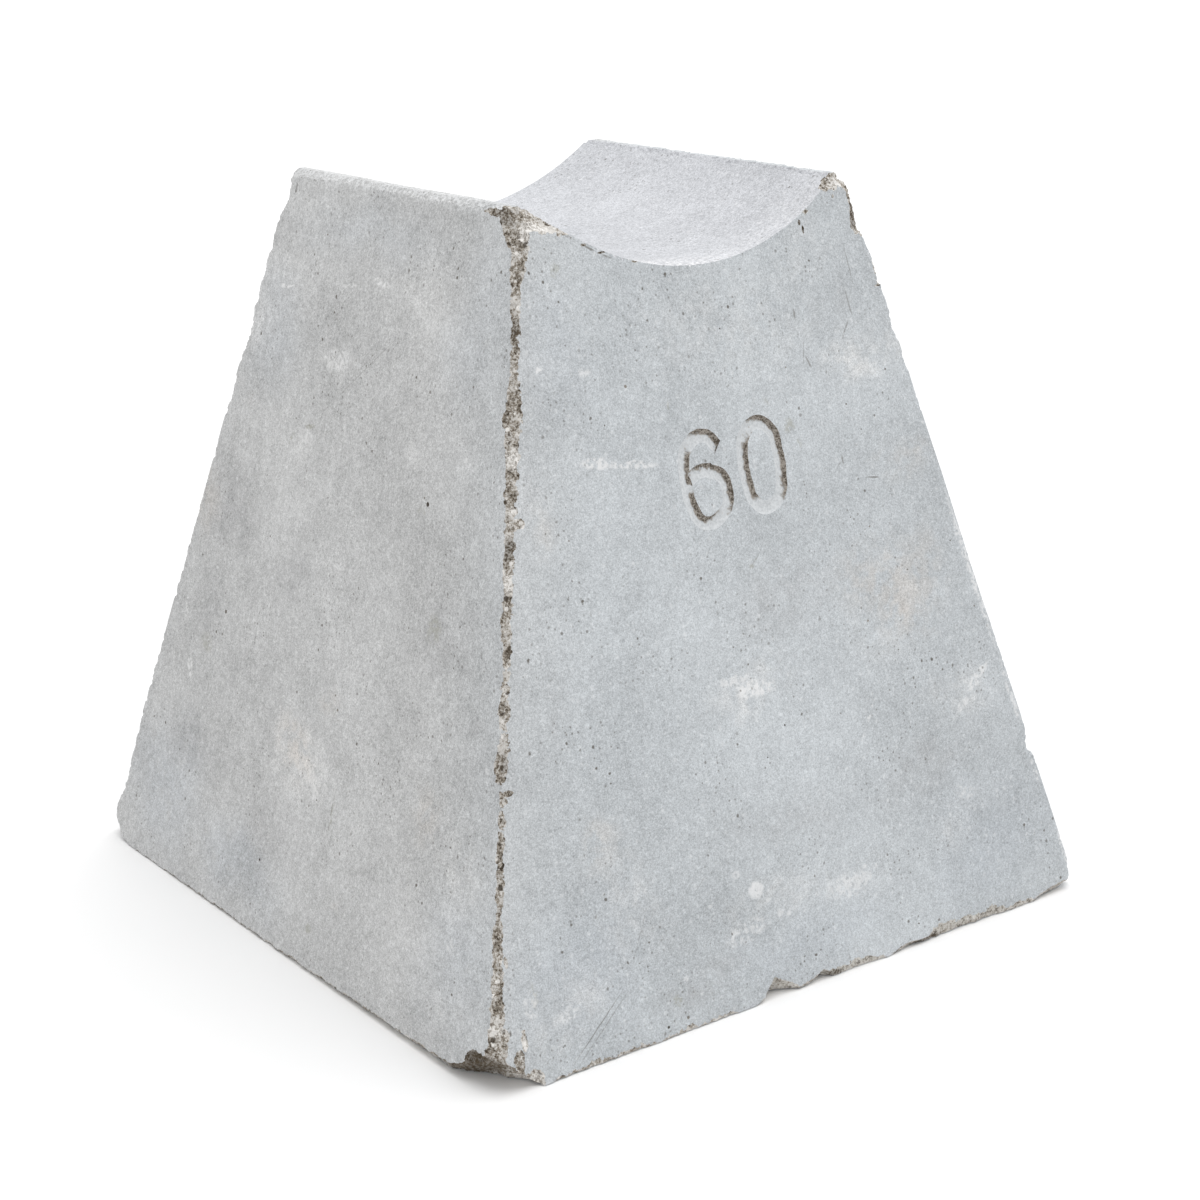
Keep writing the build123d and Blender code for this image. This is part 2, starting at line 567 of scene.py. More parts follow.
# single chips: a rough pebble takes a bite. Place across and up on a face, half sizes across, up and deep
chips = {
    "arrisHigh": (sideFace, -21.35, 50.3, (0.95, 0.85, 0.45)),
    "arrisMiddle": (sideFace, -25.25, 35.4, (0.6, 0.65, 0.35)),
    "arrisLow": (sideFace, -27.9, 24.9, (0.85, 1.5, 0.4)),
    "arrisFoot": (sideFace, -31.0, 12.4, (0.5, 0.9, 0.3)),
    "faceHigh": (endFace, -20.3, 50.7, (0.5, 0.6, 0.3)),
    "faceMiddle": (endFace, -21.9, 42.5, (0.7, 0.5, 0.3)),
    "faceLow": (endFace, -26.9, 22.7, (0.55, 0.25, 0.2)),
    "faceSliver": (endFace, -29.6, 10.2, (0.22, 0.8, 0.15)),
    "faceRidge": (endFace, -29.1, 4.0, (0.32, 1.0, 0.22)),
    "ridgeMiddle": (endFace, -29.8, 2.4, (0.5, 1.1, 0.3)),
    "ridgeFoot": (endFace, -28.7, 0.8, (1.0, 0.9, 0.4)),
    "footScoop": (sideFace, -31.7, 2.1, (1.9, 1.15, 1.0)),
    "footSide": (sideFace, -32.9, 4.9, (0.8, 0.8, 0.25)),
    "footSideHigh": (sideFace, -32.9, 6.1, (0.6, 0.5, 0.25)),
    "footEnd": (endFace, -31.2, 4.8, (0.9, 0.8, 0.3)),
    "arcSpeck": (endFace, 12.0, 63.15, (0.45, 0.25, 0.25)),
    "arcDashHigh": (endFace, -11.5, 62.7, (0.32, 0.12, 0.2)),
    "arcDashLow": (endFace, -9.9, 61.95, (0.42, 0.12, 0.18)),
    "arcDashFoot": (endFace, -6.6, 60.95, (0.5, 0.14, 0.2)),
    "slitHead": (endFace, 11.2, 62.25, (0.15, 0.3, 0.3)),
    "slitFoot": (endFace, 11.5, 61.65, (0.16, 0.42, 0.3)),
    "arrisFleck": (endFace, 29.3, 14.2, (0.25, 0.2, 0.2)),
    "rimLeft": (sideFace, -14.6, 65.6, (1.3, 0.5, 0.4)),
    "baseNotch": (endFace, -3.9, 0.3, (0.7, 0.8, 0.9)),
    "rightRimHole": (endFace, 15.4, 64.05, (0.2, 0.22, 0.35)),
}
chipWork = {
    "roundness": 5,
    "fullSize": 0.5,  # a chip with a half size under this many mm crumbles less
    "crumble": ((0.9 * mm, 0.4 * mm), (0.4 * mm, 0.3 * mm), (0.2 * mm, 0.14 * mm)),
}


def chipOff(body, name, chip):
    (xSide, ySide), across, high, sizes = chip
    outward = faceNormal(xSide, ySide)
    startFresh()
    bpy.ops.mesh.primitive_ico_sphere_add(subdivisions=chipWork["roundness"], radius=1)
    tool = named(name + "Tool", "brokenConcrete")
    sideways = Vector((1, 0, 0)) if ySide else Vector((0, 1, 0))
    axes = Matrix((sideways, outward.cross(sideways), outward)).transposed().to_4x4()
    place = Matrix.Translation(onFace(xSide, ySide, across * mm, high * mm))
    tool.matrix_world = place @ axes @ Matrix.Diagonal([*(Vector(sizes) * mm), 1])
    settlePlace(tool)
    turnOutward(tool)
    roughen(tool, weaker(chipWork["crumble"], min(min(sizes) / chipWork["fullSize"], 1)))
    applyAll(tool)
    cutAway(body, tool)


for name, chip in chips.items():
    chipOff(body, name, chip)
print("single chips made,", len(body.data.polygons), "faces")


# many small balls in one tool: nibbled saddle ends, and the air holes of the cast faces
def addBall(centre, radius):
    bpy.ops.mesh.primitive_ico_sphere_add(subdivisions=2, radius=radius, location=centre)


def ballTool(name, balls, finish, crumble):
    startFresh()
    addBall(*balls[0])
    tool = named(name, finish)
    settlePlace(tool)
    enterEdit(tool)
    for ball in balls[1:]:
        addBall(*ball)
    leaveEdit()
    roughen(tool, crumble)
    applyAll(tool)
    return tool


def drawRadius(chance, low, top):
    # small ones are commoner
    return low + (top - low) * chance.random() ** 2


nibbles = {
    "seed": 11,
    "perArc": 26,
    "halfArc": 12.5 * mm,
    "gap": 0.6 * mm,
    "radii": (0.06 * mm, 0.20 * mm),
    "crumble": ((0.3 * mm, 0.14 * mm),),
}


def nibbleArcs(body):
    # along the lines where the saddle meets the end faces
    chance = random.Random(nibbles["seed"])
    balls = []
    for ySide in (-1, 1):
        places = []
        while len(places) < nibbles["perArc"]:
            across = chance.uniform(-1, 1) * nibbles["halfArc"]
            if all(abs(across - other) > nibbles["gap"] for other in places):
                places.append(across)
        for across in places:
            balls.append((saddleLine(ySide, across), drawRadius(chance, *nibbles["radii"])))
    cutAway(body, ballTool("nibbleTool", balls, "saddleConcrete", nibbles["crumble"]))


nibbleArcs(body)
print("saddle ends nibbled,", len(body.data.polygons), "faces")


# air holes: those that stand out, by place across and up, and radius, in mm; the rest are strewn
holes = {
    "seed": 5,
    "perFace": 60,
    "heights": (2, 58),
    "margin": 1.5,
    "radii": (0.07, 0.15),
    "gap": 0.7,
    "raised": 0.2,  # share of its radius that a hole's middle stands out
    "crumble": ((0.12 * mm, 0.05 * mm),),
    "known": {endFace: [
        (-9.6, 51.4, 0.20), (-12.2, 48.7, 0.18), (-17.4, 40.5, 0.20), (-4.75, 43.55, 0.28),
        (14.2, 60.9, 0.16), (0.9, 54.7, 0.16), (-15.1, 25.8, 0.16), (12.2, 28.5, 0.16), (23.2, 33.5, 0.14),
        (-13.3, 1.2, 0.22), (-15.4, 1, 0.18), (12.9, 1.9, 0.16), (-7.4, 3.2, 0.16), (-21.6, 27, 0.14),
        (19, 9.6, 0.14), (18.46, 49.1, 0.17), (13.4, 46.8, 0.16), (14.7, 45.6, 0.13), (14.7, 44.5, 0.16),
        (19.1, 44.6, 0.15), (10, 41.9, 0.15), (13.7, 39.4, 0.17), (12, 37.4, 0.15), (14, 36.3, 0.17),
        (21.5, 47, 0.13)
    ], sideFace: [
        (-12.2, 41.9, 0.26), (-11.6, 42.3, 0.16), (17.7, 26, 0.24), (5.2, 6.6, 0.24), (-2.6, 14.4, 0.18),
        (-3.7, 22.6, 0.20), (-3, 23.7, 0.17), (-1.3, 22.2, 0.15), (-4, 21.8, 0.14), (-14.7, 26.2, 0.16),
        (0.2, 62.5, 0.18), (3.1, 31, 0.15), (21.5, 33.5, 0.15), (-8.7, 35.2, 0.14), (13.4, 19.5, 0.16),
        (-20.3, 62, 0.14), (9.9, 61, 0.14)
    ]},
}


def strewHoles(body):
    chance = random.Random(holes["seed"])
    for side in (endFace, sideFace, backFace, rightFace):
        spots = list(holes["known"].get(side, []))
        halfBase, halfTop = (baseHalf.y, topHalf.y) if side[0] else (baseHalf.x, topHalf.x)
        wanted = len(spots) + holes["perFace"]
        while len(spots) < wanted:
            high = chance.uniform(*holes["heights"])
            halfWide = (halfBase + (halfTop - halfBase) * high * mm / height) / mm - holes["margin"]
            across = chance.uniform(-halfWide, halfWide)
            radius = drawRadius(chance, *holes["radii"])
            if all(math.hypot(across - a, high - h) > holes["gap"] for a, h, r in spots):
                spots.append((across, high, radius))
        lift = faceNormal(*side) * holes["raised"] * mm
        balls = [(onFace(*side, across * mm, high * mm) + lift * radius, radius * mm)
                 for across, high, radius in spots]
        cutAway(body, ballTool("holeTool", balls, "pitConcrete", holes["crumble"]))


# the size figure in the end face: centre lines of its strokes, across the face and by height
figures = {
    "halfWidth": 0.72,
    "depth": 0.36,
    "bendSteps": 20,
    "roundness": 12,
    "weld": 0.001 * mm,
    "wear": ((0.9 * mm, 0.10 * mm), (0.3 * mm, 0.03 * mm)),
    "strokes": {
        "sixStem": (False, [(-1.19, 45.4), (-2.56, 46.48), (-4.4, 45.8), (-5.0, 44.4), (-5.02, 42.9),
                            (-4.85, 41.4), (-3.71, 39.6), (-1.5, 40.1), (-0.84, 41.8), (-1.31, 43.05),
                            (-2.69, 43.67)]),
        "sixBar": (False, [(-2.2, 43.6), (-3.3, 43.72), (-4.5, 43.3)]),
        "nought": (True, [(3.22, 46.72), (1.75, 45.9), (1.29, 44.4), (1.3, 42.2), (1.8, 40.5), (3.1, 39.75),
                          (4.6, 40.5), (5.1, 42.2), (5.09, 44.0), (4.66, 45.9)]),
    },
}


def strokeTool(name, closed, points):
    # a round tube that dips into the face by the depth of the figure
    radius = (figures["halfWidth"] ** 2 + figures["depth"] ** 2) / (2 * figures["depth"]) * mm
    startFresh()
    bpy.ops.curve.primitive_bezier_curve_add(enter_editmode=True)
    bpy.ops.curve.select_all(action="SELECT")
    bpy.ops.curve.delete(type="VERT")
    for across, high in points:
        bpy.ops.curve.vertex_add(location=(across * mm, high * mm / math.cos(leanY), 0))
    bpy.ops.curve.select_all(action="SELECT")
    bpy.ops.curve.handle_type_set(type="AUTOMATIC")
    if closed:
        bpy.ops.curve.cyclic_toggle()
    leaveEdit()
    curve = bpy.context.object.data
    curve.dimensions = "3D"
    curve.resolution_u = figures["bendSteps"]
    curve.bevel_depth = radius
    curve.bevel_resolution = figures["roundness"]
    curve.use_fill_caps = True
    bpy.ops.object.convert(target="MESH")
    tool = named(name, "grooveConcrete")
    enterEdit(tool)
    bpy.ops.mesh.select_all(action="SELECT")
    bpy.ops.mesh.remove_doubles(threshold=figures["weld"])
    leaveEdit()
    outward = faceNormal(*endFace)
    upSlope = Vector((0, math.sin(leanY), math.cos(leanY)))
    axes = Matrix((Vector((1, 0, 0)), upSlope, outward)).transposed().to_4x4()
    foot = Vector((0, -baseHalf.y, 0)) + outward * (radius - figures["depth"] * mm)
    tool.matrix_world = Matrix.Translation(foot) @ axes
    settlePlace(tool)
    roughen(tool, figures["wear"])
    applyAll(tool)
    turnOutward(tool)
    return tool


for name, (closed, points) in figures["strokes"].items():
    cutAway(body, strokeTool(name, closed, points))
print("size figure cut,", len(body.data.polygons), "faces")
strewHoles(body)
print("air holes made,", len(body.data.polygons), "faces")


def dropCrumbs(body):
    # bits that the tools have cut quite free fall away
    takeUp(body)
    bpy.ops.mesh.separate(type="LOOSE")
    bits = sorted(bpy.context.selected_objects, key=lambda bit: len(bit.data.polygons))
    block = bits.pop()
    for bit in bits:
        bpy.data.objects.remove(bit)
    block.name = "castBlock"
    return block, len(bits)


def trimFins(body):
    # the body is closed, so a face with an open edge is a fin that a tool has left
    enterEdit(body)
    pick(body, "FACE", lambda face: any(edge.is_boundary for edge in face.edges))
    bpy.ops.mesh.delete(type="FACE")
    leaveEdit()


body, dropped = dropCrumbs(body)
print("loose bits dropped:", dropped)

body.modifiers.new("facets", "TRIANGULATE")
applyAll(body)
trimFins(body)
bpy.ops.object.shade_smooth_by_angle(angle=math.radians(casting["smoothAngle"]))
print("block shaped,", len(body.data.polygons), "triangles")


# soft stains on the two faces that show: one painted layer, a channel for each kind. Each has its place
# across and up in mm, half length and height, turn in degrees, strength
stains = {
    "haze": {  # broad soft patches, a little paler
        "tone": (0.70, 0.70, 0.695, 1), "break": (0.3, 0.7),
        "places": {sideFace: [
            (0.9, 16.7, 7, 4.6, 0, 0.55), (-24, 15, 4.5, 7, 0, 0.45), (8.5, 43.5, 3, 2.2, 0, 0.6),
            (5.2, 50.9, 3.8, 2, 0, 0.5), (-15.5, 46, 1.6, 1, 0, 0.6), (16, 57, 6, 3, 0, 0.3),
            (-9.5, 43.5, 0.7, 2.2, -8, 0.7), (25, 22.5, 1.5, 4.5, 8, 0.5), (-6, 58, 8, 4, 0, 0.3),
            (-27, 5, 5, 3.5, 0, 0.4)
        ], endFace: [
            (-1.5, 25.6, 5, 1.8, 0, 0.6), (-18, 12, 5, 9, 10, 0.35), (22.5, 20.5, 5, 2.4, 18, 0.4),
            (0, 8, 12, 3, 0, 0.35), (-19.5, 44, 2, 4, 8, 0.35), (19, 9.5, 6, 3, 30, 0.35),
            (-24, 4.5, 5, 3, 0, 0.45), (-17.5, 53.5, 2.5, 1.5, 0, 0.35), (2, 55, 14, 7, 0, 0.2),
            (12, 59, 5, 4, 0, 0.2)
        ]}},
    "gloom": {  # broad soft patches, a little darker
        "tone": (0.375, 0.375, 0.38, 1), "break": (0.2, 0.7),
        "places": {sideFace: [
            (19.5, 35.5, 6, 6, 0, 0.55), (20.5, 25.5, 3.5, 5.5, 0, 0.5), (7, 31.5, 5.5, 4.5, 0, 0.45),
            (4, 9.5, 7, 4.5, 0, 0.4), (21, 12.5, 8, 3.5, 0, 0.45), (-17, 32.5, 3, 5, 8, 0.4),
            (-6.3, 48.6, 0.7, 1.4, 10, 0.6), (16.5, 60.5, 3, 3, 0, 0.35), (-20.7, 33, 0.8, 4.5, -12, 0.5),
            (-22.8, 26, 0.7, 4, -12, 0.5)
        ], endFace: [
            (-22, 29, 1, 5, -12, 0.45), (4, 32, 10, 4, 0, 0.25), (15, 55, 1, 5, -12, 0.2),
            (-15.5, 31.8, 2.2, 0.8, 5, 0.55), (16, 15, 9, 4, 20, 0.3), (-18.3, 44.6, 1.4, 0.6, -8, 0.6),
            (-12, 3.5, 8, 3, 15, 0.35), (2.5, 37.6, 1, 0.6, 0, 0.4), (0, 14, 12, 2.5, 0, 0.25)
        ]}},
    "rust": {  # warm stains
        "tone": (0.56, 0.525, 0.49, 1), "break": (0.35, 0.6),
        "places": {endFace: [
            (16, 31, 9, 6, 0, 0.4), (14.5, 29, 3.5, 1.2, 5, 0.6), (-17.5, 49.8, 1.8, 1, 0, 0.55),
            (-20, 41, 1, 1.6, 0, 0.6), (19.5, 42, 4, 2, 10, 0.35), (-20, 16, 2, 3, 0, 0.35)
        ], sideFace: [
            (1.5, 17, 5, 3, 0, 0.45), (-7.3, 7, 1.2, 1.4, 0, 0.5), (-20, 18, 3, 3, 0, 0.35),
            (25, 36, 3, 6, 0, 0.3), (13.8, 48.9, 0.6, 0.6, 0, 0.5), (-2.5, 22.8, 2.2, 1.2, 0, 0.35)
        ]}},
    "chill": {  # bluish patches
        "tone": (0.455, 0.487, 0.525, 1), "break": (0.1, 0.5),
        "places": {sideFace: [
            (24, 8, 11.7, 9.1, 0, 0.3), (9, 5, 11.7, 5.2, 0, 0.28), (3, 62, 15.6, 3.9, 0, 0.19),
            (16, 52, 7.8, 7.8, 0, 0.22), (-15, 56, 6.5, 9.1, 0, 0.17), (-26, 8, 7.8, 7.8, 0, 0.22)
        ], endFace: [
            (23, 7, 10.4, 7.8, 0, 0.28), (-22, 8, 10.4, 9.1, 0, 0.25), (-16, 55, 5.2, 7.8, 0, 0.22),
            (0, 4, 13, 3.9, 0, 0.22)
        ]}},
}
stainPaint = {
    "wander": (5.0, 2.5), "apart": 9.0, "spread": 1.4, "seed": 3, "perHiddenFace": 9,
    "hidden": ((-24, 24), (4, 60), (2, 7), (1.5, 5), (0.3, 0.6)),  # ranges of the strewn stains
}


def hiddenStains(chance):
    # the two faces behind have stains of the same sorts, strewn by chance
    across, high, halfLength, halfHeight, strength = stainPaint["hidden"]
    return [(side, chance.uniform(*across), chance.uniform(*high), chance.uniform(*halfLength),
             chance.uniform(*halfHeight), 0, chance.uniform(*strength))
            for side in (backFace, rightFace) for number in range(stainPaint["perHiddenFace"])]


def faceAxes(xSide, ySide, turn):
    # directions along and across a mark that is turned in its face
    outward = faceNormal(xSide, ySide)
    level = Vector((1, 0, 0)) if ySide else Vector((0, 1, 0))
    rise = level.cross(outward)
    if rise.z < 0:
        rise = -rise
    tilt = math.radians(turn)
    return level * math.cos(tilt) + rise * math.sin(tilt), rise * math.cos(tilt) - level * math.sin(tilt)


def paintStains(body):
    chance = random.Random(stainPaint["seed"])
    noise.seed_set(stainPaint["seed"])
    size, reach = stainPaint["wander"]
    spread = stainPaint["spread"]
    layer = body.data.color_attributes.new("stains", "FLOAT_COLOR", "POINT")
    tree = KDTree(len(body.data.vertices))
    for vertex in body.data.vertices:
        tree.insert(vertex.co / mm, vertex.index)
    tree.balance()
    painted = [[0.0] * len(stains) for vertex in body.data.vertices]
    for channel, kind in enumerate(stains.values()):
        aside = Vector((channel * stainPaint["apart"], 0, 0))
        known = [(side, *place) for side, places in kind["places"].items() for place in places]
        for side, across, high, halfLength, halfHeight, turn, strength in known + hiddenStains(chance):
            centre = onFace(*side, across * mm, high * mm) / mm
            along, over = faceAxes(*side, turn)
            for place, index, far in tree.find_range(centre, spread * max(halfLength, halfHeight)):
                stir = noise.noise_vector(place / size + aside) * reach
                moved = place + stir - centre
                away = math.hypot(moved.dot(along) / halfLength, moved.dot(over) / halfHeight)
                amount = strength * max(1 - away * away, 0) ** 2 * spread
                painted[index][channel] = max(painted[index][channel], min(amount, 1))
    layer.data.foreach_set("color", [part for tone in painted for part in tone])


paintStains(body)
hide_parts("spacer_block")
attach(body, "root")
print("block finished and stained")


# materials: every pattern reads the object's own coordinates, in millimetres
making = {"tree": None}  # the tree that nodes are being added to


def wire(kind, values, output=0, **settings):
    # adds a node and hands on one of its outputs
    tree = making["tree"]
    node = tree.nodes.new("ShaderNode" + kind)
    for name, value in settings.items():
        setattr(node, name, value)
    for socket, value in values.items():
        if isinstance(value, bpy.types.NodeSocket):
            tree.links.new(value, node.inputs[socket])
        else:
            node.inputs[socket].default_value = value
    return node.outputs[output]


def grain(place, size, shift, detail=1.0, rough=0.5, stretch=(1, 1, 1), output="Fac"):
    moved = wire("Mapping", {"Vector": place, "Location": (shift, shift * 0.7, -shift),
                             "Scale": [part / size for part in stretch]})
    return wire("TexNoise", {"Vector": moved, "Scale": 1.0, "Detail": detail, "Roughness": rough}, output)


def ramp(value, low, high, start=0.0, end=1.0):
    values = {"Value": value, "From Min": low, "From Max": high, "To Min": start, "To Max": end}
    return wire("MapRange", values, interpolation_type="SMOOTHSTEP")


def reckon(operation, first, second=0.0, third=0.0):
    return wire("Math", {0: first, 1: second, 2: third}, operation=operation)


def mixTone(amount, first, second, blend="MIX"):
    return wire("Mix", {0: amount, 6: first, 7: second}, 2, data_type="RGBA", blend_type=blend)


def measure(place, direction):
    # how far a place lies along a direction
    return wire("VectorMath", {0: place, 1: direction}, "Value", operation="DOT_PRODUCT")


def layered(place, layers):
    # the sum of noises about nought, each with its size, strength and own shift
    total = 0.0
    for number, (size, strength) in enumerate(layers):
        fac = grain(place, size, 3.1 + 4.7 * number, detail=0.0)
        total = reckon("ADD", total, reckon("MULTIPLY_ADD", fac, strength, -0.5 * strength))
    return total


def shaded(tone, amount):
    # brightens or darkens a tone by a share
    level = reckon("ADD", amount, 1.0)
    grey = wire("CombineColor", {"Red": level, "Green": level, "Blue": level})
    return mixTone(1.0, tone, grey, "MULTIPLY")


def scatter(place, cell, share, size, soft, shift, dimensions="3D"):
    # small spots: one in a share of the cells, each of its own size, as a share of the cell
    moved = wire("Mapping", {"Vector": place, "Location": (shift, -shift, shift * 0.3),
                             "Scale": (1 / cell, 1 / cell, 1 / cell)})
    distance = wire("TexVoronoi", {"Vector": moved, "Scale": 1.0}, "Distance", feature="F1",
                    voronoi_dimensions=dimensions)
    chance = wire("SeparateColor", {"Color": distance.node.outputs["Color"]})
    radius = ramp(chance, 1 - share, 1.0, 0.0, size)
    return ramp(reckon("SUBTRACT", radius, distance), -soft, soft)


def makePush(place, size, shift):
    # noise about nought in three directions
    noiseTone = grain(place, size, shift, detail=2.0, rough=0.65, output="Color")
    return wire("VectorMath", {0: noiseTone, 1: (0.5, 0.5, 0.5)}, operation="SUBTRACT")


def pushed(place, push, reach):
    # the same place pushed about, so that outlines drawn with it are uneven
    scaledPush = wire("VectorMath", {0: push, 3: reach}, operation="SCALE")
    return wire("VectorMath", {0: place, 1: scaledPush}, operation="ADD")


def startFinish(name):
    # gives the places on the block in millimetres
    finishes[name].use_nodes = True
    making["tree"] = finishes[name].node_tree
    return wire("Mapping", {"Vector": wire("TexCoord", {}, "Object"), "Scale": (1 / mm, 1 / mm, 1 / mm)})


def endFinish(tone, grit, look):
    # the grit that roughens a finish also makes its gloss uneven
    shader = making["tree"].nodes["Principled BSDF"].inputs
    links = making["tree"].links
    links.new(tone, shader["Base Color"])
    if look["bumpDepth"]:
        bump = {"Height": grit, "Distance": look["bumpDepth"] * mm, "Strength": 1.0}
        links.new(wire("Bump", bump), shader["Normal"])
    links.new(ramp(grit, 0.3, 0.7, *look["dull"]), shader["Roughness"])
    shader["Specular IOR Level"].default_value = look["gloss"]


def markMask(place, side, mark, inner):
    # a soft oval on a face
    across, high, halfLength, halfHeight, turn, strength = mark
    centre = onFace(*side, across * mm, high * mm) / mm
    along, over = faceAxes(*side, turn)
    offset = wire("VectorMath", {0: place, 1: centre}, operation="SUBTRACT")
    alongPart = measure(offset, along / halfLength)
    overPart = measure(offset, over / halfHeight)
    away = reckon("MULTIPLY_ADD", overPart, overPart, reckon("MULTIPLY", alongPart, alongPart))
    return ramp(away, inner * inner, 1.0, strength, 0.0)


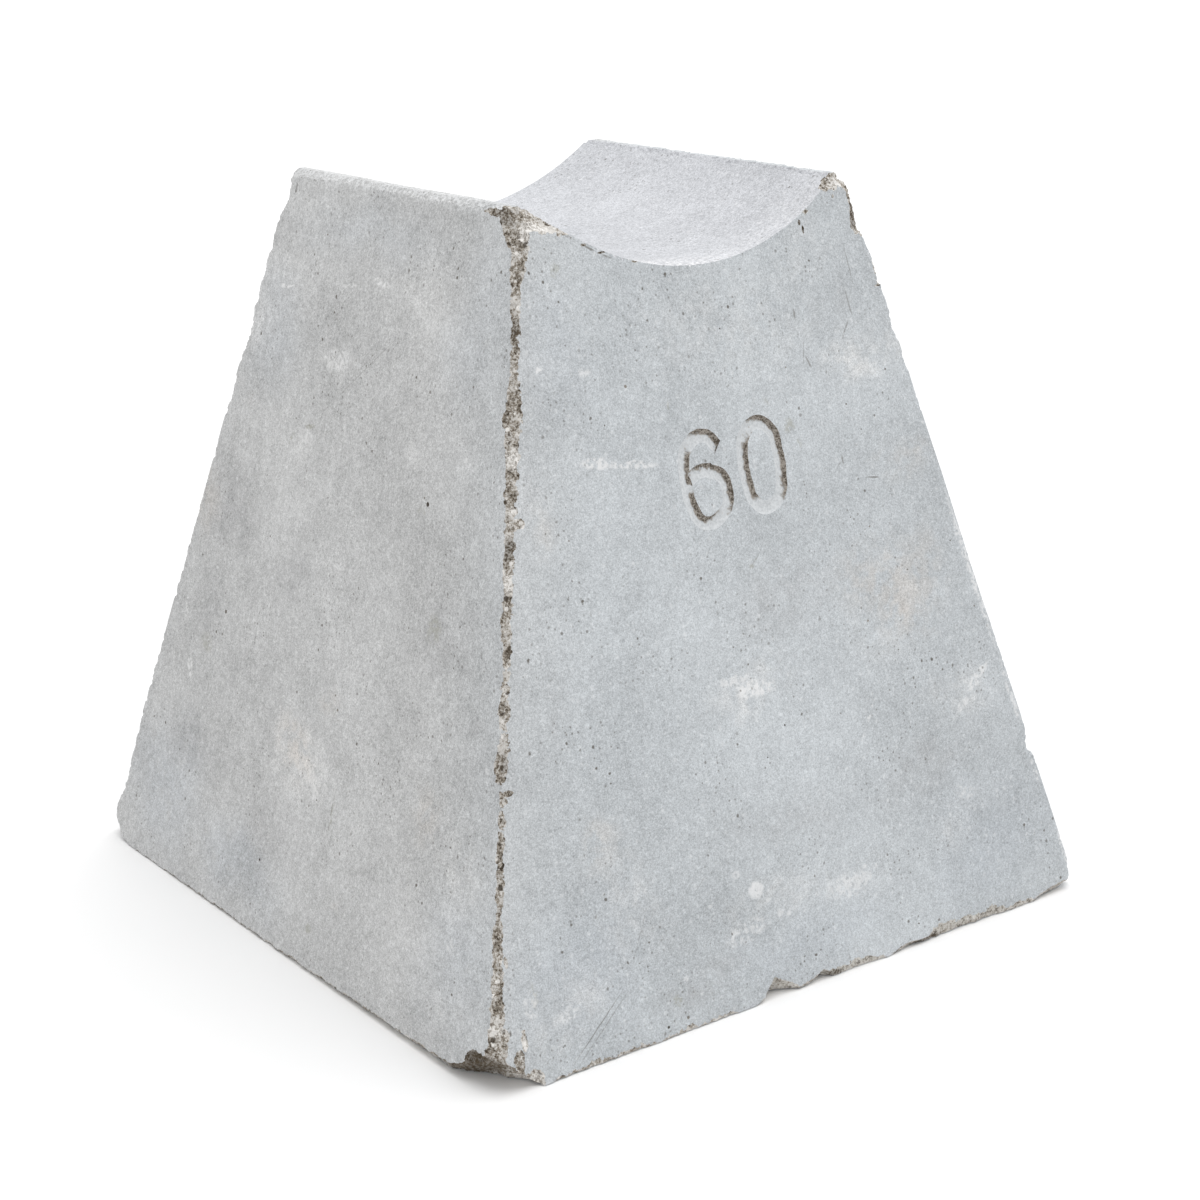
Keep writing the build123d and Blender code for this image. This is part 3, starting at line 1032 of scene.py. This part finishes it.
# fine marks, drawn by the finish of each face, with the same six values as a stain
marks = {
    "moss": {  # small olive smudges
        "tone": (0.33, 0.325, 0.27, 1), "inner": 0.2, "wander": 0.8, "break": (0.35, 0.6),
        "places": {endFace: [
            (6.7, 46, 0.8, 0.7, 20, 0.55), (4.6, 48.3, 0.3, 0.5, 0, 0.5), (-14, 2.8, 0.6, 0.7, 40, 0.6),
            (0.6, 35.4, 0.9, 0.35, 40, 0.5), (-14.6, 61, 0.7, 0.7, 0, 0.4), (-27.6, 7, 0.5, 1.3, 0, 0.35),
            (-5.6, 49.4, 0.2, 0.6, 0, 0.4), (11.9, 63, 0.6, 0.22, 42, 0.7), (7.6, 44.4, 0.3, 0.5, 0, 0.4)
        ], sideFace: [
            (8, 44.7, 1.1, 0.22, -5, 0.7), (10.8, 43.3, 0.22, 0.9, 20, 0.6), (-16, 32.5, 1.3, 1.6, 0, 0.5),
            (-4.5, 3.6, 0.6, 0.5, 0, 0.6), (-5.3, 14, 0.2, 2.6, 5, 0.5), (20.5, 22.5, 1.6, 1.2, 0, 0.4),
            (-11.5, 41.2, 0.7, 0.4, 0, 0.4)
        ]}},
    "chalk": {  # rubbed white
        "tone": (0.80, 0.80, 0.80, 1), "inner": 0.45, "wander": 0.7, "break": (0.4, 0.6),
        "places": {endFace: [
            (-13.6, 45.9, 1.9, 0.62, -9, 0.75), (-10.3, 45.3, 3.4, 0.42, -9, 0.65),
            (-1.3, 25.5, 2.7, 0.9, -5, 0.75), (-3.4, 26.6, 2.3, 0.5, 0, 0.5),
            (24, 21.2, 2.3, 0.6, 35, 0.65), (21.8, 19.2, 1.3, 0.4, 30, 0.5), (-6, 6.3, 2.8, 1.2, 10, 0.45),
            (6, 7.2, 3.4, 1.3, 0, 0.45), (-17.6, 53.7, 0.5, 0.4, 0, 0.7), (-13.3, 53, 0.7, 0.5, 0, 0.5),
            (20.6, 11.7, 1.6, 0.8, -20, 0.4), (10.4, 20, 0.14, 3, -33, 0.5), (-28, 6.4, 0.8, 1.5, 0, 0.5),
            (-24.4, 4.8, 1.6, 0.7, 20, 0.4), (31.9, 3.6, 0.45, 2.6, 13, 0.7),
            (29.6, 11.5, 0.3, 1.4, 13, 0.6), (25.2, 30.5, 0.55, 9, 13, 0.6), (27.9, 19, 0.4, 4, 13, 0.5)
        ], sideFace: [
            (16.1, 55.8, 2.2, 0.22, -6, 0.75), (0.1, 58.1, 1.5, 0.45, 5, 0.8), (5, 57.2, 1.6, 0.2, -8, 0.6),
            (5.2, 50.9, 3, 1.2, -10, 0.5), (-9.6, 60.5, 0.9, 0.3, -10, 0.65),
            (23, 19.6, 0.6, 1.5, -15, 0.65), (25.2, 25, 0.5, 1.2, -10, 0.5), (-0.6, 34.2, 2.5, 0.4, 5, 0.4),
            (8.3, 43.7, 1.8, 1, 0, 0.4), (-16.8, 46.2, 0.7, 0.4, 0, 0.5), (-25.5, 9.5, 0.6, 0.8, 0, 0.5),
            (0, 16, 3.6, 1, 5, 0.35)
        ]}},
    "spot": {  # crisp pale grains just under the skin
        "tone": (0.76, 0.765, 0.77, 1), "inner": 0.5, "wander": 0.6, "break": (0.25, 0.5),
        "places": {endFace: [
            (-4.4, 9.35, 1, 0.85, 0, 0.75), (-6.3, 11.1, 0.5, 0.4, 0, 0.5), (-2.2, 6.9, 0.45, 0.4, 0, 0.5),
            (-1.3, 6.6, 0.3, 0.28, 0, 0.5), (-3.3, 8.2, 0.3, 0.2, 0, 0.45), (2.1, 7.4, 0.28, 0.26, 0, 0.45),
            (7.7, 8.3, 0.35, 0.3, 0, 0.45), (8.9, 8, 0.28, 0.26, 0, 0.5), (-9.4, 9.2, 0.3, 0.26, 0, 0.45),
            (-12.9, 4.2, 0.3, 0.3, 0, 0.45), (22, 44, 0.25, 0.25, 0, 0.4)
        ], sideFace: [
            (-26.3, 24, 0.35, 0.35, 0, 0.45), (-3.2, 9.8, 0.35, 0.3, 0, 0.45), (2, 27, 0.3, 0.3, 0, 0.4)
        ]}},
    "scratch": {  # fine dark lines
        "tone": (0.22, 0.215, 0.205, 1), "inner": 0.3, "wander": 0.16, "break": (0.3, 0.5),
        "places": {endFace: [
            (-22.2, 2.9, 4.6, 0.07, 38, 0.8), (-21.6, 2.75, 4.4, 0.07, 38, 0.6),
            (-16.8, 8.8, 3.9, 0.06, 62, 0.35), (-16.2, 8.4, 3.6, 0.05, 62, 0.3),
            (9.5, 51.6, 0.09, 1.3, -12, 0.5), (-12.7, 63.4, 0.9, 0.13, -32, 0.9),
            (-11, 62.4, 0.7, 0.12, -27, 0.9), (-9.4, 61.6, 0.6, 0.11, -23, 0.8),
            (16, 58.2, 0.09, 2.8, 7, 0.45), (15.4, 55, 0.1, 2, 10, 0.6), (14.6, 53, 0.11, 1.2, -33, 0.7),
            (3.1, 57, 0.5, 0.08, 50, 0.5), (15.3, 40.3, 1.1, 0.11, -8, 0.8),
            (12.1, 42.3, 0.11, 0.55, 5, 0.8), (9.13, 54.9, 0.14, 0.6, 0, 0.7),
            (9.9, 50.8, 0.14, 0.8, 24, 0.7), (-10, 11.3, 1.2, 0.05, 38, 0.45),
            (0.9, 35.7, 1.1, 0.08, 40, 0.45), (-3.6, 33, 0.9, 0.05, 10, 0.3),
            (11.7, 42, 0.5, 0.08, 35, 0.45), (-26.6, 12.7, 1.4, 0.05, 25, 0.3)
        ], sideFace: [
            (0.2, 51, 7, 0.055, -39, 0.5), (1.5, 50.5, 5, 0.045, -40, 0.35), (-7, 29, 2, 0.05, 35, 0.3),
            (-5.2, 14.6, 0.08, 1.5, 3, 0.6), (-5.8, 12.3, 0.08, 1, 3, 0.6), (16, 13, 0.05, 2, 5, 0.35),
            (14.8, 12.4, 0.05, 1.4, 5, 0.3), (19, 55.6, 0.4, 0.06, 0, 0.4),
            (13.4, 65.3, 0.3, 0.12, 10, 0.8), (12.2, 65.4, 0.35, 0.1, -5, 0.7),
            (9.2, 64.7, 0.3, 0.12, 0, 0.7), (3.5, 65.2, 0.25, 0.1, 20, 0.7), (-2.9, 64.7, 0.3, 0.1, 0, 0.6),
            (7.9, 61.2, 0.25, 0.12, 0, 0.6), (16.5, 64.4, 0.2, 0.6, 10, 0.7)
        ]}},
}


def addMarks(place, push, crumbs, tone, kind, side):
    if side not in kind["places"]:
        return tone
    uneven = pushed(place, push, kind["wander"])
    mask = 0.0
    for mark in kind["places"][side]:
        mask = reckon("MAXIMUM", mask, markMask(uneven, side, mark, kind["inner"]))
    broken = ramp(crumbs, *kind["break"])
    return mixTone(reckon("MULTIPLY", mask, broken), tone, kind["tone"])


# the cast skin: tones, and how strong its grain is at each size in mm
skin = {
    "cool": (0.492, 0.517, 0.536, 1), "warm": (0.514, 0.517, 0.517, 1), "dark": (0.10, 0.088, 0.07, 1),
    "pale": (0.80, 0.81, 0.82, 1), "side": None, "level": (1, 1, 0), "rise": (0.5, -0.5, 1),
    "grain": ((17.0, 0.25), (6.0, 0.20), (2.2, 0.16), (0.9, 0.19), (0.42, 0.26), (0.2, 0.42), (0.1, 0.78)),
    "dull": (0.82, 0.95), "bumpDepth": 0.06, "gloss": 0.25,
}
concretes = {
    "castConcrete": skin,
    "sideConcrete": {**skin, "side": sideFace, "level": (0, 1, 0), "rise": (0, 0, 1)},
    "endConcrete": {
        **skin, "side": endFace, "level": (1, 0, 0), "rise": (0, 0, 1),
        "grain": ((17, 0.20), (6, 0.15), (2.2, 0.12), (0.9, 0.14), (0.42, 0.18), (0.2, 0.32), (0.1, 0.68))},
    "saddleConcrete": {
        **skin, "cool": (0.565, 0.575, 0.60, 1), "warm": (0.565, 0.575, 0.60, 1),
        "dark": (0.16, 0.15, 0.14, 1), "pale": (0.90, 0.90, 0.91, 1), "level": (1, 0, 0), "rise": (0, 1, 0),
        "grain": ((17.0, 0.2), (6.0, 0.12), (2.2, 0.08), (0.9, 0.14), (0.42, 0.24), (0.2, 0.42), (0.1, 0.7))},
}

# noises that every cast face shares: size in mm and shift
skinNoise = {
    "stains": (1.6, 33.0), "streaks": (1.1, 41.0), "push": (0.7, 27.0), "crumbs": (0.45, 37.0),
    "crowds": (4.5, 53.0), "rubbed": (0.38, 19.0), "sand": (0.35, 23.0),
}
skinWork = {
    # the warm tone turning cool across the front arris is a painted cool light on the end face
    "coolLightFrom": 12.0,  # mm to either side of the front arris, over which the warm tone turns cool
    "streakShare": 0.03,
    "fleckPush": 0.22,
    "crowdRange": (0.42, 0.68),
    "rubbedRange": (0.46, 0.58),
    "rimHeights": (64.8, 65.8),
    "rimRub": 0.6,
    "saddleGrains": (0.42, 0.5, 0.3, 0.1, 61.0),
    "saddleGrainShare": 0.5,
    "saddleRub": 0.9,
    "saddleReach": (5.5, 0.3),  # mm inside the numbered face, from unrubbed to rubbed
    "saddleFade": ((-2.0, 5.0), (1.0, 0.25)),  # rubbed less to the right: from and to in mm, and how much
}

# grains of sand and pinholes in the skin: cell in mm, share of cells, size and softness as shares of the
# cell, shift, strength, tone
flecks = [
    (1.0, 0.35, 0.17, 0.10, 5.5, 0.26, "pale"), (0.5, 0.4, 0.22, 0.12, 13.1, 0.24, "pale"),
    (0.6, 0.5, 0.16, 0.09, 8.4, 0.6, "dark"), (1.2, 0.3, 0.11, 0.04, 1.2, 0.85, "dark"),
]


def rubbing(place, parts, inSaddle):
    # the rim and the saddle's end are rubbed pale
    if not inSaddle:
        return ramp(parts["Z"], *skinWork["rimHeights"], 0.0, skinWork["rimRub"])
    outward = faceNormal(*endFace)
    edge = outward.dot(baseCorner(1, -1)) / mm
    unrubbed, rubbed = skinWork["saddleReach"]
    near = ramp(measure(place, outward), edge - unrubbed, edge - rubbed, 0.0, skinWork["saddleRub"])
    span, amounts = skinWork["saddleFade"]
    return reckon("MULTIPLY", near, ramp(parts["X"], *span, *amounts))


def makeConcrete(name, look):
    place = startFinish(name)
    parts = wire("SeparateXYZ", {"Vector": place}).node.outputs

    # the end face is a little cooler than the side: a painted cool light, laid into the tone across the front
    # arris
    lean = reckon("SUBTRACT", parts["X"], parts["Y"])
    turn = ramp(lean, -skinWork["coolLightFrom"], skinWork["coolLightFrom"])
    tone = mixTone(turn, look["warm"], look["cool"])

    # stains lie under the grain, fine marks over it
    painted = wire("Attribute", {}, "Color", attribute_name="stains", attribute_type="GEOMETRY")
    colours = wire("SeparateColor", {"Color": painted}).node.outputs
    channels = [colours["Red"], colours["Green"], colours["Blue"], painted.node.outputs["Alpha"]]
    patches = grain(place, *skinNoise["stains"], detail=2.0, rough=0.6)
    for channel, kind in zip(channels, stains.values()):
        amount = reckon("MULTIPLY", channel, ramp(patches, *kind["break"]))
        tone = mixTone(amount, tone, kind["tone"])
    streaks = grain(place, *skinNoise["streaks"], detail=0.0, stretch=(1, 1, 0.1))
    share = skinWork["streakShare"]
    bright = reckon("MULTIPLY_ADD", streaks, share, -share / 2)
    bright = reckon("ADD", bright, layered(place, look["grain"]))
    tone = shaded(tone, bright)
    push = makePush(place, *skinNoise["push"])
    crumbs = grain(place, *skinNoise["crumbs"], detail=2.0, rough=0.6)
    for kind in ("moss", "chalk", "spot"):
        tone = addMarks(place, push, crumbs, tone, marks[kind], look["side"])

    # pale and dark grains of sand in the skin, the dark ones in crowds
    uneven = pushed(place, push, skinWork["fleckPush"])
    flat = wire("CombineXYZ", {"X": measure(uneven, look["level"]), "Y": measure(uneven, look["rise"])})
    crowds = ramp(grain(place, *skinNoise["crowds"]), *skinWork["crowdRange"])
    inSaddle = name == "saddleConcrete"
    near = rubbing(place, parts, inSaddle)
    patchy = grain(place, *skinNoise["rubbed"], detail=2.0, rough=0.8)
    rubbed = reckon("MULTIPLY", near, ramp(patchy, *skinWork["rubbedRange"]))
    tone = mixTone(rubbed, tone, look["pale"])
    if inSaddle:
        crowds = reckon("MAXIMUM", crowds, near)
        grains = scatter(flat, *skinWork["saddleGrains"], "2D")
        grains = reckon("MULTIPLY", grains, reckon("MULTIPLY", near, skinWork["saddleGrainShare"]))
        tone = mixTone(grains, tone, look["dark"])
    for cell, share, size, soft, shift, strength, fleckTone in flecks:
        spots = reckon("MULTIPLY", scatter(flat, cell, share, size, soft, shift, "2D"), strength)
        if fleckTone == "dark":
            spots = reckon("MULTIPLY", spots, crowds)
        tone = mixTone(spots, tone, look[fleckTone])
    tone = addMarks(place, push, crumbs, tone, marks["scratch"], look["side"])
    endFinish(tone, grain(place, *skinNoise["sand"], detail=2.0, rough=0.65), look)


for name, look in concretes.items():
    makeConcrete(name, look)


# broken faces: grains of sand in a brown bed with dark spots of painted shade in small hollows, washed over
# here and there by soil, by dust, by rubbed white, and by mud with painted shade where the break looks down.
# Each wash has its tone, how strong it is in low and high grit, and its places and half sizes in mm
brokenLook = {
    "bed": ((0.060, 0.045, 0.030, 1), (0.31, 0.275, 0.23, 1), (0.64, 0.62, 0.59, 1)),
    "bedRanges": ((0.48, 0.62), (0.60, 0.74)),  # from dark to middle, from middle to pale
    "coarse": (1.3, 2.0), "coarseShare": 0.5,
    "grit": (0.24, 9.0), "gritShare": 0.8,
    "push": (0.35, 3.0), "pushReach": 0.3,
    "sand": (0.86, 0.84, 0.81, 1), "sandGrains": (0.5, 0.42, 0.44, 0.12, 4.0), "sandShare": 0.85,
    # hollows: dark spots, painted shade in small hollows of the break
    "shadedHollows": (0.7, 0.5, 0.36, 0.10, 6.0), "shadedHollowShare": 0.9,
    "washRange": (0.38, 0.62),
    "dull": (0.8, 0.95), "bumpDepth": 0.14, "gloss": 0.3,
    "washes": {
        "dust": ((0.60, 0.58, 0.54, 1), (0.2, 0.8), [((6.0, -34.2, 0.6), (35.0, 2.2, 2.0))]),
        "white": ((0.86, 0.84, 0.81, 1), (0.3, 0.95), [
            ((-15.8, -18.4, 64.2), (2.0, 1.7, 1.5)), ((-29.2, -34.0, 3.6), (0.6, 1.0, 0.8)),
            ((-17.8, -18.7, 63.0), (0.7, 0.8, 1.2)), ((-28.4, -34.4, 0.8), (0.8, 1.0, 0.7)),
            ((-21.4, -22.5, 47.5), (1.2, 1.2, 1.4)), ((-23.6, -24.8, 38.2), (0.7, 0.9, 1.2)),
            ((16.0, -18.2, 65.3), (1.1, 1.1, 0.8)), ((-31.5, -33.4, 5.4), (1.3, 1.4, 1.0))]),
        "soil": ((0.075, 0.056, 0.036, 1), (0.96, 0.45), [
            ((-17.5, -16.0, 65.2), (1.5, 2.0, 1.1)), ((2.5, -34.3, 0.3), (1.6, 1.0, 0.5)),
            ((13.5, -34.3, 0.2), (3.0, 1.0, 0.45)), ((-23.0, -24.1, 40.8), (1.0, 1.0, 1.2)),
            ((-19.4, -20.3, 57.2), (1.3, 1.3, 2.0)), ((11.4, -19.2, 62.0), (0.7, 0.9, 1.0)),
            ((-29.7, -31.3, 14.6), (1.2, 1.2, 1.6)), ((-10.0, -19.3, 62.2), (4.5, 1.0, 1.6)),
            ((-27.2, -28.4, 25.2), (1.3, 1.3, 1.5)), ((17.6, -18.9, 61.9), (0.9, 1.2, 1.1))]),
        # mud: dark brown dirt together with painted shade where the broken foot corner and the base notch
        # look down
        "mudAndShade": ((0.085, 0.063, 0.038, 1), (0.97, 0.72), [
            ((-31.8, -30.6, 1.2), (2.7, 6.2, 2.8)), ((-3.9, -34.3, 0.5), (1.4, 1.2, 1.1))]),
    },
}


def ballMask(place, centre, radii, inner=0.4):
    local = wire("Mapping", {"Vector": place, "Location": centre, "Scale": radii}, vector_type="TEXTURE")
    away = wire("VectorMath", {0: local}, "Value", operation="LENGTH")
    return ramp(away, inner, 1.0, 1.0, 0.0)


def makeBroken(look):
    place = startFinish("brokenConcrete")
    uneven = pushed(place, makePush(place, *look["push"]), look["pushReach"])
    dark, middle, pale = look["bed"]
    coarse = grain(place, *look["coarse"], detail=2.0, rough=0.6)
    grit = grain(place, *look["grit"], detail=2.0, rough=0.75)
    amount = reckon("MULTIPLY_ADD", coarse, look["coarseShare"], reckon("MULTIPLY", grit, look["gritShare"]))
    toMiddle, toPale = look["bedRanges"]
    tone = mixTone(ramp(amount, *toMiddle), dark, middle)
    tone = mixTone(ramp(amount, *toPale), tone, pale)
    for spots, share, spotTone in ((look["sandGrains"], look["sandShare"], look["sand"]),
                                   (look["shadedHollows"], look["shadedHollowShare"], dark)):
        tone = mixTone(reckon("MULTIPLY", scatter(uneven, *spots), share), tone, spotTone)
    for washTone, (low, high), places in look["washes"].values():
        cover = 0.0
        for centre, radii in places:
            cover = reckon("MAXIMUM", cover, ballMask(uneven, centre, radii))
        strength = ramp(grit, *look["washRange"], low, high)
        tone = mixTone(reckon("MULTIPLY", cover, strength), tone, washTone)
    endFinish(tone, grit, look)


# the figure's grooves: brown where they look down and to the left, painted shade on the walls turned from the
# light together with dirt; pale as the skin or paler elsewhere, a painted light on the walls that face up and
# right
grooveLook = {
    # clean: paler than the skin, a painted light on the walls facing the light; brown: painted shade on the
    # walls turned from it, together with dirt
    "clean": ((0.52, 0.54, 0.555, 1), (0.66, 0.68, 0.695, 1)), "cleanRange": (0.3, 0.7),
    "brown": ((0.07, 0.054, 0.038, 1), (0.33, 0.30, 0.265, 1)), "brownRange": (0.62, 0.98),
    "grit": (0.24, 5.0), "fine": (0.12, 15.0), "fineShare": 0.6,
    "push": (0.5, 3.0), "pushReach": 0.5,
    "towards": (-0.74, 0.0, -0.67), "towardsRange": (-0.12, 0.06), "uneven": 0.4,
    "cleaned": [((3.1, -24.4, 39.6), (2.2, 2.0, 1.3)), ((-4.9, -23.7, 42.45), (0.8, 2.0, 0.42)),
                ((-0.95, -23.2, 44.7), (0.5, 2.0, 0.42))], "cleanedInner": 0.7,
    "dull": (0.85, 0.95), "bumpDepth": 0.08, "gloss": 0.5,
}


def makeGroove(look):
    place = startFinish("grooveConcrete")
    uneven = pushed(place, makePush(place, *look["push"]), look["pushReach"])
    grit = grain(place, *look["grit"], detail=2.0, rough=0.7)
    fine = grain(place, *look["fine"])
    litPaleTone = mixTone(ramp(grit, *look["cleanRange"]), *look["clean"])
    both = reckon("MULTIPLY_ADD", fine, look["fineShare"], grit)
    shadeAndSoilTone = mixTone(ramp(both, *look["brownRange"]), *look["brown"])
    facing = measure(wire("TexCoord", {}, "Normal"), look["towards"])
    sway = reckon("MULTIPLY_ADD", grit, look["uneven"], -look["uneven"] / 2)
    # painted shade together with dirt on the walls that look down and to the left
    shadeAndSoil = ramp(reckon("ADD", facing, sway), *look["towardsRange"])
    for centre, radii in look["cleaned"]:
        kept = reckon("SUBTRACT", 1.0, ballMask(uneven, centre, radii, look["cleanedInner"]))
        shadeAndSoil = reckon("MULTIPLY", shadeAndSoil, kept)
    endFinish(mixTone(shadeAndSoil, litPaleTone, shadeAndSoilTone), grit, look)


# the air holes: some dark, some dusty
pitLook = {
    "tones": ((0.055, 0.045, 0.035, 1), (0.32, 0.30, 0.27, 1)), "toneRange": (0.45, 0.85),
    "grit": (0.2, 5.0), "gritShare": 0.4,
    "patches": (2.5, 8.0), "patchShare": 0.9,
    "dull": (0.85, 0.95), "bumpDepth": 0, "gloss": 0.5,
}


def makePits(look):
    place = startFinish("pitConcrete")
    grit = grain(place, *look["grit"], detail=2.0, rough=0.7)
    patches = grain(place, *look["patches"])
    amount = reckon("MULTIPLY_ADD", patches, look["patchShare"], reckon("MULTIPLY", grit, look["gritShare"]))
    tone = mixTone(ramp(amount, *look["toneRange"]), *look["tones"])
    endFinish(tone, grit, look)


makeBroken(brokenLook)
makeGroove(grooveLook)
makePits(pitLook)
print("finishes made")


# floor, light and surround
stage = {
    "floorSize": 4.0,
    "floorTone": 0.9,
    "roomLight": 0.75,
    "sunAngle": 60.0,
    "sunStrength": 0.55 * math.pi,
    "sunPlace": (0.1, 0, 0.6),
    "sunFrom": (0.21, -0.05, 0.95),
}
white = (1, 1, 1, 1)


def makeFloor():
    startFresh()
    bpy.ops.mesh.primitive_plane_add(size=stage["floorSize"], location=(0, 0, 0))
    floor = bpy.context.object
    floor.name = "paleFloor"
    paper = bpy.data.materials.new("palePaper")
    paper.use_nodes = True
    shader = paper.node_tree.nodes["Principled BSDF"].inputs
    shader["Base Color"].default_value = (*[stage["floorTone"]] * 3, 1)
    shader["Roughness"].default_value = 1.0
    floor.data.materials.append(paper)


def makeRoom():
    # a soft room for the light, and plain white for what looks past the block
    world = bpy.data.worlds.new("softRoom")
    bpy.context.scene.world = world
    world.use_nodes = True
    tree = making["tree"] = world.node_tree
    room = tree.nodes["Background"]
    room.inputs["Color"].default_value = white
    room.inputs["Strength"].default_value = stage["roomLight"]
    backdrop = wire("Background", {"Color": white, "Strength": 1.0})
    rays = wire("LightPath", {}).node.outputs
    either = reckon("ADD", rays["Is Camera Ray"], rays["Is Glossy Ray"])
    seen = wire("Math", {0: either, 1: rays["Is Transmission Ray"]}, operation="ADD", use_clamp=True)
    both = wire("MixShader", {0: seen, 1: room.outputs["Background"], 2: backdrop})
    tree.links.new(both, tree.nodes["World Output"].inputs["Surface"])


def makeSun():
    bpy.ops.object.light_add(type="SUN", location=stage["sunPlace"])
    lamp = bpy.context.object
    lamp.name = "softSun"
    lamp.data.angle = math.radians(stage["sunAngle"])
    lamp.data.energy = stage["sunStrength"]
    lamp.rotation_euler = Vector(stage["sunFrom"]).to_track_quat("Z", "Y").to_euler()


makeFloor()
makeRoom()
makeSun()
bpy.context.scene.view_settings.view_transform = "Standard"
print("stage and light set")
